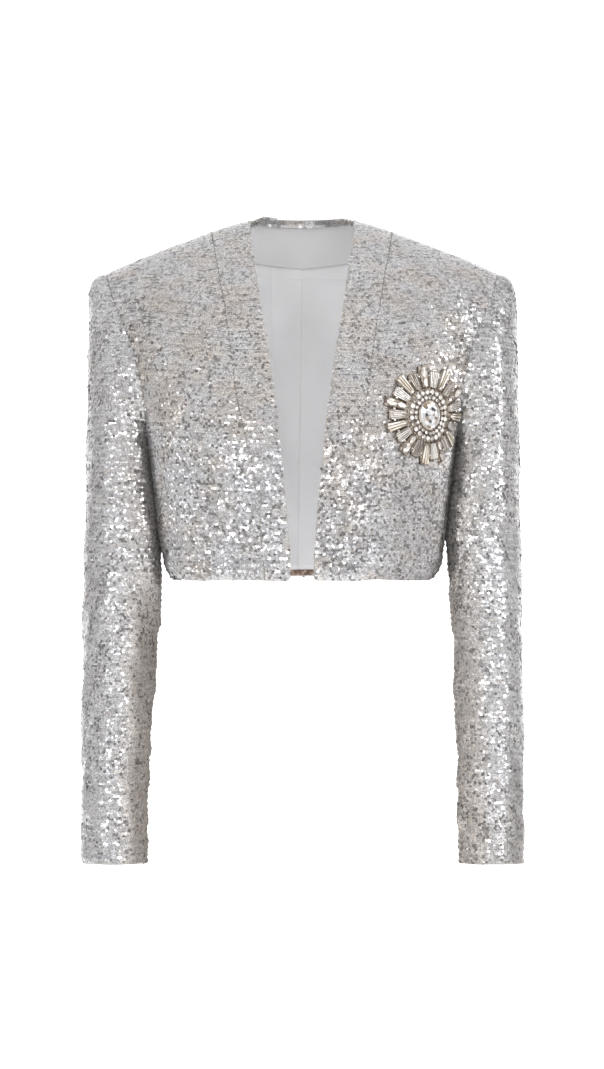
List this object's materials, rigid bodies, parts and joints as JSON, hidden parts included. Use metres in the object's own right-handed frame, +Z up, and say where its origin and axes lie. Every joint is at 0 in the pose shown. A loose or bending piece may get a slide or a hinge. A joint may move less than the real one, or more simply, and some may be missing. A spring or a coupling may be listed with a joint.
{
  "type": "cropped sequin blazer",
  "caption": "Cropped collarless blazer, open down the front, with long set-in sleeves, a lined back and a sunburst ornament on the chest.",
  "frame": {"origin": "centre between the shoulders, level with the high points of the neck", "axes": "+Z up, the front faces -Y, +X is the wearer's left"},
  "size_m": [0.4648, 0.2165, 0.6913],
  "materials": {
    "sequin_cloth": "woven cloth covered with small silver sequins",
    "lining_satin": "pale grey satin",
    "gilt_setting": "pale gilt",
    "cut_glass": "polished cut stones"
  },
  "bodies": {
    "root": {"front_band_right": "sequin_cloth", "front_band_left": "sequin_cloth", "side_front_right": "sequin_cloth", "side_front_left": "sequin_cloth", "back_panel": "sequin_cloth", "sleeve_right": "sequin_cloth", "sleeve_left": "sequin_cloth", "back_neck_strip": "sequin_cloth", "back_hem_turn": "sequin_cloth", "back_neck_facing": "lining_satin", "back_lining": "lining_satin", "brooch_rays": "gilt_setting", "brooch_bead_ring": "cut_glass", "brooch_crystal": "cut_glass"}
  },
  "joints": []
}
